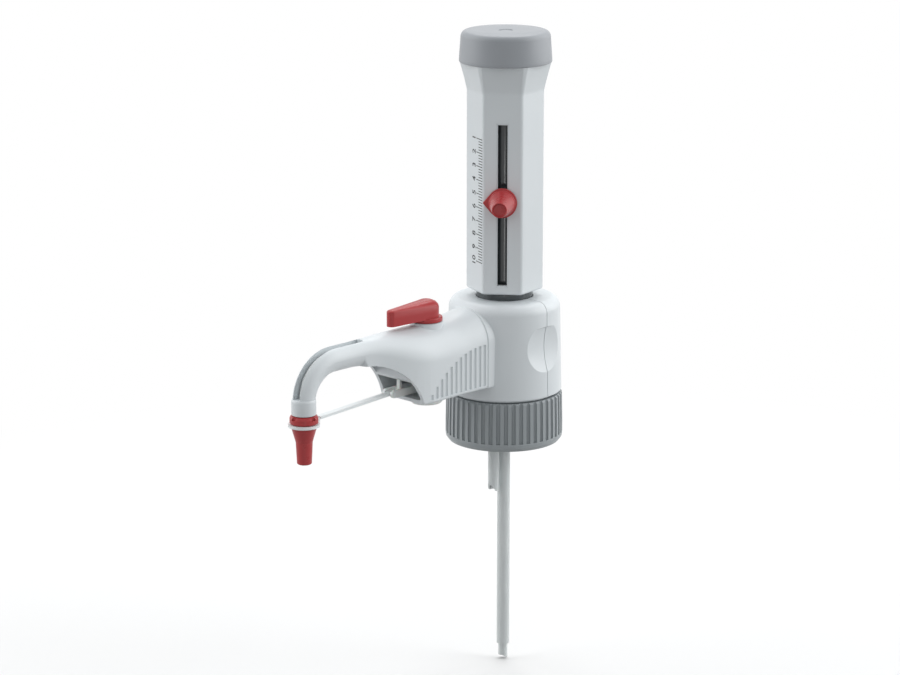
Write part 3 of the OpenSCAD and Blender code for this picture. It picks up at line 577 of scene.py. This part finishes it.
class Solid:
    """Mesh-building steps that the sub-assemblies share. Sizes are in metres."""

    @staticmethod
    def rounded(outline: Sequence[Corner], closed: bool) -> list[tuple[float, float]]:
        """Round the corners of an outline.

        Args:
            outline: Corners as (x, y, radius of the round).
            closed: Whether the last corner joins the first.

        Returns:
            The outline's points, with each rounded corner as an arc.
        """
        points = []
        count = len(outline)
        for i, (x, y, radius) in enumerate(outline):
            here = Vector((x, y))
            open_end = i in (0, count - 1) and not closed
            if radius <= 0 or open_end:
                points.append((x, y))
                continue
            before = (Vector(outline[i - 1][:2]) - here).normalized()
            after = (Vector(outline[(i + 1) % count][:2]) - here).normalized()
            half = before.angle(after) / 2
            back = radius / math.tan(half)
            centre = here + (before + after).normalized() * radius / math.sin(half)
            first = here + before * back - centre
            last = here + after * back - centre
            turn = first.angle_signed(last)
            steps = max(2, round(abs(turn) / ARC_STEP))
            for k in range(steps + 1):
                angle = -turn * k / steps
                cos, sin = math.cos(angle), math.sin(angle)
                points.append((centre.x + first.x * cos - first.y * sin,
                               centre.y + first.x * sin + first.y * cos))
        return points

    @staticmethod
    def lathe(outline: Sequence[Corner], closed: bool = True,
              steps: int = 96) -> bmesh.types.BMesh:
        """Turn an outline round the Z axis.

        Args:
            outline: Corners as (radius, height, round). An open outline starts and ends on
                the axis.
            closed: Whether the outline closes on itself, as that of a ring does.
            steps: Number of steps in the full turn.

        Returns:
            The turned mesh.
        """
        mesh = bmesh.new()
        corners = [mesh.verts.new((x, 0, z)) for x, z in Solid.rounded(outline, closed)]
        pairs = list(zip(corners, corners[1:])) + ([(corners[-1], corners[0])] if closed else [])
        edges = [mesh.edges.new(pair) for pair in pairs]
        bmesh.ops.spin(mesh, geom=corners + edges, cent=(0, 0, 0), axis=(0, 0, 1),
                       angle=FULL_TURN, steps=steps, use_merge=True)
        bmesh.ops.remove_doubles(mesh, verts=mesh.verts, dist=MERGE_DISTANCE)
        bmesh.ops.recalc_face_normals(mesh, faces=mesh.faces)
        return mesh

    @staticmethod
    def plate(outline: Sequence[Corner], thickness: float) -> bmesh.types.BMesh:
        """Raise a flat outline to a plate.

        Args:
            outline: Corners as (x, y, round), in the XY plane.
            thickness: The plate's thickness, along +Z.

        Returns:
            The plate's mesh.
        """
        mesh = bmesh.new()
        base = mesh.faces.new([mesh.verts.new((x, y, 0)) for x, y in Solid.rounded(outline, True)])
        raised = bmesh.ops.extrude_face_region(mesh, geom=[base])
        top = [item for item in raised["geom"] if isinstance(item, bmesh.types.BMVert)]
        bmesh.ops.translate(mesh, verts=top, vec=(0, 0, thickness))
        bmesh.ops.recalc_face_normals(mesh, faces=mesh.faces)
        return mesh

    @staticmethod
    def ease(mesh: bmesh.types.BMesh, width: float, least_deg: float, segments: int,
             where: Callable[[bmesh.types.BMEdge], bool]) -> None:
        """Round a mesh's sharp edges.

        Args:
            mesh: The mesh.
            width: Width of the round.
            least_deg: Angle between two faces from which an edge counts as sharp.
            segments: Number of faces across the round.
            where: Test that picks the edges.
        """
        least = math.radians(least_deg)
        edges = [edge for edge in mesh.edges if len(edge.link_faces) == 2
                 and edge.calc_face_angle(0) > least and where(edge)]
        bmesh.ops.bevel(mesh, geom=edges, offset=width, offset_type="OFFSET", affect="EDGES",
                        segments=segments, profile=0.5, material=-1, clamp_overlap=True)

    @staticmethod
    def blended(node: str, limit_deg: float) -> bpy.types.Mesh:
        """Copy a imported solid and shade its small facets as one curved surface.

        Each corner's normal becomes the mean, weighted by area, of the normals that meet there
        and that differ from it by less than the limit. Larger angles stay sharp.

        Args:
            node: The node's name.
            limit_deg: Largest angle between two normals that are blended.

        Returns:
            The copied mesh with its new normals.
        """
        data = frame["nodes"][node].data.copy()
        normals = [corner.vector.copy() for corner in data.corner_normals]
        meeting: dict[tuple[int, ...], list[tuple[int, float]]] = {}
        for polygon in data.polygons:
            for loop in polygon.loop_indices:
                spot = data.vertices[data.loops[loop].vertex_index].co
                key = tuple(round(value / MERGE_DISTANCE) for value in spot)
                meeting.setdefault(key, []).append((loop, polygon.area))
        least = math.cos(math.radians(limit_deg))
        blended = list(normals)
        for corners in meeting.values():
            for loop, _ in corners:
                total = Vector((0, 0, 0))
                for other, area in corners:
                    if normals[loop].dot(normals[other]) > least:
                        total += normals[other] * area
                blended[loop] = total.normalized() if total.length > 0 else normals[loop]
        data.shade_smooth()
        data.normals_split_custom_set(blended)
        return data

    @staticmethod
    def resurface(node: str, name: str, body: str, slot: Slot,
                  limit_deg: float) -> bpy.types.Object:
        """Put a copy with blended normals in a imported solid's place.

        Args:
            node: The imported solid.
            name: The new piece's name.
            body: The body that it moves with.
            slot: The slot that its finish comes from.
            limit_deg: Largest angle between two normals that are blended.

        Returns:
            The new piece.
        """
        data = Solid.blended(node, limit_deg)
        data.name = name
        return Solid.mounted(data, body, slot, [node])

    @staticmethod
    def piece(name: str, mesh: bmesh.types.BMesh, body: str, slot: Slot,
              replaces: Iterable[str] = (),
              material: bpy.types.Material | None = None) -> bpy.types.Object:
        """Turn a mesh into a finished piece that rides on a body.

        Args:
            name: The piece's name.
            mesh: Its mesh, at its place in the dispenser's frame. It is freed.
            body: The body that it moves with.
            slot: The slot that its finish comes from.
            replaces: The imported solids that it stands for.
            material: A material other than the slot's own, such as the scale's ink.

        Returns:
            The new object.
        """
        data = bpy.data.meshes.new(name)
        mesh.to_mesh(data)
        mesh.free()
        data.shade_smooth()
        data.set_sharp_from_angle(angle=SMOOTH_ANGLE)
        return Solid.mounted(data, body, slot, replaces, material)

    @staticmethod
    def mounted(data: bpy.types.Mesh, body: str, slot: Slot, replaces: Iterable[str] = (),
                material: bpy.types.Material | None = None) -> bpy.types.Object:
        """Give a mesh its finish and its body.

        Args:
            data: The mesh, which names the piece.
            body: The body that it moves with.
            slot: The slot that its finish comes from.
            replaces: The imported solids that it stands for.
            material: A material other than the slot's own, such as the scale's ink.

        Returns:
            The new object.
        """
        data.materials.clear()
        data.materials.append(material or MATERIALS[slot])
        piece = bpy.data.objects.new(data.name, data)
        bpy.context.scene.collection.objects.link(piece)
        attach(piece, body)
        if replaces:
            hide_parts(*replaces)
        return piece


@dataclass
class BottleCollar:
    """Ribbed screw collar with the thread that grips the bottle's neck."""

    body: str = "collar"
    bore: float = 22.85 * MM
    thread_depth: float = 1.1 * MM
    thread_pitch: float = 4.0 * MM
    thread_foot: float = -14.6 * MM
    thread_turns: float = 2.4
    thread_steps: int = 72
    crest: float = 0.7 * MM
    crest_round: float = 0.3 * MM
    root: float = 2.2 * MM
    root_sink: float = 0.15 * MM

    def build(self) -> list[bpy.types.Object]:
        """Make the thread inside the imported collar."""
        return [self.thread()]

    def thread(self) -> bpy.types.Object:
        """Wind the rounded bottle thread up the bore.

        Returns:
            The thread.
        """
        mesh = bmesh.new()
        half_root, half_crest = self.root / 2, self.crest / 2
        outer = self.bore + self.root_sink
        inner = self.bore - self.thread_depth
        section = Solid.rounded([(outer, -half_root, 0), (inner, -half_crest, self.crest_round),
                                 (inner, half_crest, self.crest_round), (outer, half_root, 0)],
                                True)
        corners = [mesh.verts.new((x, 0, self.thread_foot + z)) for x, z in section]
        edges = [mesh.edges.new(pair) for pair in zip(corners, corners[1:] + corners[:1])]
        mesh.faces.new(corners)
        steps = round(self.thread_steps * self.thread_turns)
        turned = bmesh.ops.spin(mesh, geom=corners + edges, cent=(0, 0, 0), axis=(0, 0, 1),
                                dvec=(0, 0, self.thread_pitch * self.thread_turns / steps),
                                angle=FULL_TURN * self.thread_turns, steps=steps)
        last = [item for item in turned["geom_last"] if isinstance(item, bmesh.types.BMEdge)]
        bmesh.ops.contextual_create(mesh, geom=last)
        bmesh.ops.recalc_face_normals(mesh, faces=mesh.faces)
        return Solid.piece("collar_thread", mesh, self.body, Slot.COLLAR)


@dataclass
class ValveBlock:
    """Front shell of the block, whose arched root carries the discharge arm."""

    body: str = "valve_block"
    blend_deg: float = 19.0

    def build(self) -> list[bpy.types.Object]:
        """Shade the front shell's arched root as a curve."""
        return [Solid.resurface("front_shell", "block_front_shell", self.body, Slot.HOUSING,
                                self.blend_deg)]


@dataclass
class LiftingHandle:
    """Six-sided handle with its cap and the printed volume scale."""

    body: str = "handle"
    blend_deg: float = 24.0
    cap_foot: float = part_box("top_cap")[0].z
    cap_top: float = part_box("top_cap")[1].z
    cap_radius: float = 21.1 * MM
    cap_top_radius: float = 20.2 * MM
    cap_wall: float = 2.4 * MM
    cap_draft: float = 0.6 * MM
    cap_round: float = 2.8 * MM
    lip_height: float = 1.5 * MM
    lip_edge: float = 0.3 * MM
    plug_hole: float = 3.2 * MM
    plug_gap: float = 0.05 * MM
    plug_dish: float = 1.9 * MM
    plug_sink: float = 0.25 * MM
    plug_flange: float = 1.2 * MM
    plug_foot: float = 1.0 * MM
    zero_mark: float = 132.444 * MM
    mark_pitch: float = 6.3144 * MM
    volume: int = 10
    first_volume: int = 1
    marks_per_ml: int = 5
    print_depth: float = 0.05 * MM
    print_sink: float = 0.01 * MM
    tick_end: float = 8.3 * MM
    long_tick: float = 6.1 * MM
    short_tick: float = 3.8 * MM
    tick_width: float = 0.38 * MM
    digit_size: float = 4.5 * MM
    digit_weight: float = 0.07 * MM
    digit_gap: float = 0.1 * MM

    def build(self) -> list[bpy.types.Object]:
        """Make the handle, its cap and the scale."""
        return [self.housing(), self.cap(), self.plug(), self.ticks(), self.digits()]

    def housing(self) -> bpy.types.Object:
        """Copy the six-sided housing and shade its long edges smooth."""
        return Solid.resurface("handle_housing", "handle_grip", self.body, Slot.HOUSING,
                               self.blend_deg)

    def cap(self) -> bpy.types.Object:
        """Turn the cap: a slight cone with a well-rounded upper edge and a lip at its foot.

        Returns:
            The cap.
        """
        foot, top, radius = self.cap_foot, self.cap_top, self.cap_radius
        inner = radius - self.cap_wall - self.cap_draft
        mesh = Solid.lathe([
            (self.plug_hole, top - self.cap_wall, 0), (self.plug_hole, top, 0.25 * MM),
            (self.cap_top_radius, top, self.cap_round),
            (radius, foot + self.lip_height, 0.4 * MM),
            (radius, foot + self.lip_edge, 0.2 * MM), (radius - self.lip_edge, foot, 0),
            (inner, foot, 0), (inner, top - self.cap_wall, 1.0 * MM)])
        return Solid.piece("handle_cap", mesh, self.body, Slot.CAP, ["top_cap"])

    def plug(self) -> bpy.types.Object:
        """Turn the small plug in the cap's centre, with a shallow dish.

        Returns:
            The plug.
        """
        radius = self.plug_hole - self.plug_gap
        flange = radius + self.plug_flange
        top, under = self.cap_top, self.cap_top - self.cap_wall
        mesh = Solid.lathe([
            (0, top - self.plug_sink, 0), (self.plug_dish, top - 0.1 * MM, 0.3 * MM),
            (radius, top - 0.4 * MM, 0.2 * MM), (radius, under, 0), (flange, under, 0),
            (flange, under - self.plug_foot, 0), (0, under - self.plug_foot, 0)],
            closed=False, steps=48)
        return Solid.piece("handle_cap_plug", mesh, self.body, Slot.CAP, ["cap_plug"])

    def on_scale_face(self) -> Matrix:
        """Place of the scale's face: its X runs down the handle and its Y runs across the face.

        Returns:
            The matrix from the flat print to the handle's face left of the slot.
        """
        normal_angle = math.radians(180 + SLOT_TURN_DEG - FACE_STEP_DEG)
        outward = Vector((math.cos(normal_angle), math.sin(normal_angle), 0))
        down = Vector((0, 0, -1))
        across = outward.cross(down)
        matrix = Matrix((down, across, outward)).transposed().to_4x4()
        return Matrix.Translation(outward * (HANDLE_FLAT - self.print_sink)) @ matrix

    def height_of(self, millilitres: float) -> float:
        """Give the height of a volume's mark above the bottle's rim."""
        return self.zero_mark - millilitres * self.mark_pitch

    def ticks(self) -> bpy.types.Object:
        """Print the scale's lines, longer at each full millilitre.

        Returns:
            The printed lines.
        """
        mesh = bmesh.new()
        first = self.first_volume * self.marks_per_ml
        for i in range(first, self.volume * self.marks_per_ml + 1):
            full = i % self.marks_per_ml == 0
            length = self.long_tick if full else self.short_tick
            place = Matrix.Translation((-self.height_of(i / self.marks_per_ml),
                                        self.tick_end - length / 2, self.print_depth / 2))
            size = Matrix.Diagonal((self.tick_width, length, self.print_depth, 1))
            bmesh.ops.create_cube(mesh, size=1, matrix=place @ size)
        mesh.transform(self.on_scale_face())
        return Solid.piece("scale_lines", mesh, self.body, Slot.HOUSING, material=INK)

    def digits(self) -> bpy.types.Object:
        """Print the numbers from 1 to the full volume, reading upwards beside the long lines.

        Returns:
            The printed numbers.
        """
        mesh = bmesh.new()
        for millilitres in range(self.first_volume, self.volume + 1):
            curve = bpy.data.curves.new("digits", "FONT")
            curve.body = str(millilitres)
            curve.size = self.digit_size
            curve.align_x = "CENTER"
            curve.align_y = "BOTTOM"
            curve.extrude = self.print_depth / 2
            curve.offset = self.digit_weight
            text = bpy.data.objects.new("digits", curve)
            bpy.context.scene.collection.objects.link(text)
            bpy.context.view_layer.update()
            flat = text.to_mesh()
            foot = self.tick_end - self.long_tick - self.digit_gap
            place = Matrix.Translation((-self.height_of(millilitres), foot, self.print_depth / 2))
            flat.transform(place @ Matrix.Rotation(math.pi, 4, "Z"))
            mesh.from_mesh(flat)
            text.to_mesh_clear()
            bpy.data.objects.remove(text)
            bpy.data.curves.remove(curve)
        bmesh.ops.remove_doubles(mesh, verts=mesh.verts, dist=MERGE_DISTANCE)
        mesh.transform(self.on_scale_face())
        return Solid.piece("scale_numbers", mesh, self.body, Slot.HOUSING, material=INK)


@dataclass
class VolumePointer:
    """Red pointer plate with its arrow, and the thumb screw that clamps it in the slot."""

    height: float = (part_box("pointer_plate")[0].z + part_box("pointer_plate")[1].z) / 2
    plate_gap: float = 0.25 * MM
    plate_radius: float = 6.75 * MM
    plate_thickness: float = 1.5 * MM
    plate_steps: int = 40
    rim_round: float = 0.45 * MM
    rim_angle_deg: float = 50.0
    tip: float = 8.8 * MM
    tongue: tuple[float, float, float] = (10 * MM, 4.1 * MM, 3.1 * MM)
    overlap: float = 0.1 * MM
    screw_gap: float = 0.05 * MM
    screw_root: float = 6.1 * MM
    root_height: float = 1.2 * MM
    root_step: float = 0.4 * MM
    screw_end: float = 3.4 * MM
    screw_length: float = 15.5 * MM
    shank_radius: float = 1.6 * MM
    shank_length: float = 4.5 * MM
    dish: float = 3.0 * MM
    dish_depth: float = 1.1 * MM

    def build(self) -> list[bpy.types.Object]:
        """Make the plate and the thumb screw."""
        return [self.plate(), self.screw()]

    def place(self, out: float) -> Matrix:
        """Place of a piece on the slot's face: its Z points out and its X points down.

        Args:
            out: Distance from the bottle's axis.

        Returns:
            The matrix of that place.
        """
        lift = Matrix.Translation((0, 0, self.height))
        turn = Matrix.Rotation(math.radians(180 + SLOT_TURN_DEG), 4, "Z")
        tilt = Matrix.Rotation(math.radians(90), 4, "Y")
        return lift @ turn @ tilt @ Matrix.Translation((0, 0, out))

    def plate(self) -> bpy.types.Object:
        """Cut the disc with its arrow tip, and round its rim.

        Returns:
            The plate with its tongue.
        """
        radius, tip = self.plate_radius, self.tip
        open_angle = math.acos(radius / tip)
        arc = FULL_TURN - 2 * open_angle
        outline = [(0.0, -tip, 0.25 * MM)]
        for i in range(self.plate_steps + 1):
            angle = -math.pi / 2 + open_angle + arc * i / self.plate_steps
            outline.append((radius * math.cos(angle), radius * math.sin(angle), 0.0))
        mesh = Solid.plate(outline, self.plate_thickness)
        rim = self.plate_thickness - self.overlap
        Solid.ease(mesh, self.rim_round, self.rim_angle_deg, 3,
                   lambda edge: min(v.co.z for v in edge.verts) > rim)
        long, wide, deep = self.tongue
        place = Matrix.Translation((0, 0, self.overlap - deep / 2))
        bmesh.ops.create_cube(mesh, size=1, matrix=place @ Matrix.Diagonal((long, wide, deep, 1)))
        mesh.transform(self.place(HANDLE_FLAT + self.plate_gap))
        return Solid.piece("pointer_face", mesh, "pointer", Slot.RED, ["pointer_plate"])

    def screw(self) -> bpy.types.Object:
        """Turn the conical thumb screw, with a collar at its root and a dished end.

        Returns:
            The thumb screw.
        """
        end, shank, root = self.screw_length, self.shank_radius, self.screw_root
        mesh = Solid.lathe([
            (0, -self.shank_length, 0), (shank, -self.shank_length, 0), (shank, 0, 0),
            (root, 0, 0.2 * MM), (root, self.root_height, 0.35 * MM),
            (root - self.root_step, self.root_height + 0.3 * MM, 0.2 * MM),
            (self.screw_end, end, 0.35 * MM), (self.dish, end, 0.3 * MM),
            (self.dish - 0.3 * MM, end - self.dish_depth, 0.4 * MM),
            (0, end - self.dish_depth, 0)], closed=False, steps=72)
        plate_face = HANDLE_FLAT + self.plate_gap + self.plate_thickness
        mesh.transform(self.place(plate_face + self.screw_gap))
        return Solid.piece("thumb_screw_knob", mesh, "thumb_screw", Slot.RED, ["thumb_screw"])


@dataclass
class DischargeArm:
    """Curved arm with the recirculation valve's lever on its ridge."""

    body: str = "valve_block"
    blend_deg: float = 27.0
    lever_x: float = 51.4 * MM
    disc_foot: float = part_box("valve_lever")[0].z
    disc_thickness: float = 2.1 * MM
    disc_radius: float = 7.35 * MM
    hub_radius: float = 5.75 * MM
    tip_radius: float = 2.3 * MM
    lever_length: float = 24.0 * MM
    lever_height: float = 7.4 * MM
    fall_power: float = 1.3
    end_steps: int = 16

    def build(self) -> list[bpy.types.Object]:
        """Make the housing and the lever."""
        return [self.housing(), self.lever()]

    def housing(self) -> bpy.types.Object:
        """Copy the arm's housing and shade its long curves smooth."""
        return Solid.resurface("arm_housing", "arm_shell", self.body, Slot.HOUSING,
                               self.blend_deg)

    def teardrop(self, hub: float, tip: float, height: float, slope: float) -> list[Vector]:
        """Outline of the grip at one height.

        Args:
            hub: Radius round the lever's axis.
            tip: Radius at the far end.
            height: Height above the dispenser's origin, at the axis.
            slope: How much lower the outline lies at the far end.

        Returns:
            The outline's points, counter-clockwise.
        """
        reach = self.lever_length - self.tip_radius
        lean = math.asin((hub - tip) / reach)
        points = []
        for centre, radius, start, sweep in (
            (0.0, hub, -math.pi / 2 - lean, math.pi + 2 * lean),
            (-reach, tip, math.pi / 2 + lean, math.pi - 2 * lean),
        ):
            for i in range(self.end_steps + 1):
                angle = start + sweep * i / self.end_steps
                x = centre + radius * math.cos(angle)
                fall = slope * min(1.0, max(0.0, -x / reach)) ** self.fall_power
                points.append(Vector((x - self.lever_x, radius * math.sin(angle), height - fall)))
        return points

    def lever(self) -> bpy.types.Object:
        """Model the red lever: a disc, and a grip that falls towards its tip.

        Returns:
            The lever.
        """
        base = self.disc_foot + self.disc_thickness
        top = base + self.lever_height
        mesh = bmesh.new()
        hub, tip = self.hub_radius, self.tip_radius
        # From the grip's foot up: straight flanks, then the rounded upper edge.
        rings = [
            self.teardrop(hub, tip, base - 0.3 * MM, 0.7 * MM),
            self.teardrop(hub, tip, base + 2.4 * MM, 0.1 * MM),
            self.teardrop(hub, tip, top - 3.0 * MM, -1.2 * MM),
            self.teardrop(hub - 0.4 * MM, tip - 0.3 * MM, top - 1.9 * MM, -0.5 * MM),
            self.teardrop(hub - 1.4 * MM, tip - 0.8 * MM, top - 0.8 * MM, 0.3 * MM),
            self.teardrop(hub - 3.2 * MM, tip - 1.6 * MM, top, 1.1 * MM),
        ]
        loops = []
        for ring in rings:
            corners = [mesh.verts.new(point) for point in ring]
            loops.append([mesh.edges.new(pair) for pair in zip(corners, corners[1:] + corners[:1])])
        for low, high in zip(loops, loops[1:]):
            bmesh.ops.bridge_loops(mesh, edges=low + high)
        bmesh.ops.contextual_create(mesh, geom=loops[0])
        bmesh.ops.contextual_create(mesh, geom=loops[-1])
        bmesh.ops.recalc_face_normals(mesh, faces=mesh.faces)
        disc = Solid.lathe([(0, 0, 0), (self.disc_radius, 0, 0.3 * MM),
                            (self.disc_radius, self.disc_thickness, 0.6 * MM),
                            (0, self.disc_thickness, 0)], closed=False, steps=72)
        disc.transform(Matrix.Translation((-self.lever_x, 0, self.disc_foot)))
        joined = bpy.data.meshes.new("disc")
        disc.to_mesh(joined)
        disc.free()
        mesh.from_mesh(joined)
        bpy.data.meshes.remove(joined)
        return Solid.piece("lever_grip", mesh, "lever", Slot.RED, ["valve_lever"])


@dataclass
class Spout:
    """Nozzle ring under the arm's end, with the spigot that the screw cap grips."""

    x: float = 127.0 * MM
    spigot_radius: float = 4.2 * MM
    spigot_length: float = 6.4 * MM
    nozzle_foot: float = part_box("nozzle_ring")[0].z + spigot_length
    nozzle_top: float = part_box("nozzle_ring")[1].z
    nozzle_radius: float = 5.45 * MM
    shoulder: float = 1.0 * MM
    edge: float = 0.3 * MM
    tube_radius: float = 2.05 * MM

    def build(self) -> list[bpy.types.Object]:
        """Make the nozzle ring."""
        return [self.ring()]

    def ring(self) -> bpy.types.Object:
        """Turn the nozzle ring with its threaded spigot's plain core.

        Returns:
            The nozzle ring.
        """
        top, foot, edge = self.nozzle_top, self.nozzle_foot, self.edge
        end = foot - self.spigot_length
        mesh = Solid.lathe([
            (self.tube_radius, top, 0), (self.nozzle_radius - edge, top, edge),
            (self.nozzle_radius, top - self.shoulder, edge), (self.nozzle_radius, foot, edge),
            (self.spigot_radius, foot, 0), (self.spigot_radius, end, edge),
            (self.tube_radius, end, 0)], steps=72)
        mesh.transform(Matrix.Translation((-self.x, 0, 0)))
        return Solid.piece("nozzle_collar", mesh, "valve_block", Slot.HOUSING, ["nozzle_ring"])


def dress_node(name: str, slot: Slot) -> None:
    """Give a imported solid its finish.

    Args:
        name: The node's name.
        slot: The finish's slot.
    """
    node = frame["nodes"][name]
    node.data.materials.clear()
    node.data.materials.append(MATERIALS[slot])


def main() -> None:
    """Build the studio, then each sub-assembly in order."""
    logging.basicConfig(level=logging.INFO, format="%(message)s")
    Studio().build()
    slots = {part["node"]: Slot(part["material_slot"]) for part in frame["record"]["subparts"]}
    for name, slot in slots.items():
        dress_node(name, slot)
    LOG.info("dressed %d solids", len(slots))
    for assembly in (BottleCollar(), ValveBlock(), LiftingHandle(), VolumePointer(),
                     DischargeArm(), Spout()):
        for piece in assembly.build():
            LOG.info("%s: %d faces", piece.name, len(piece.data.polygons))


if __name__ == "__main__":
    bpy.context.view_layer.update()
    main()
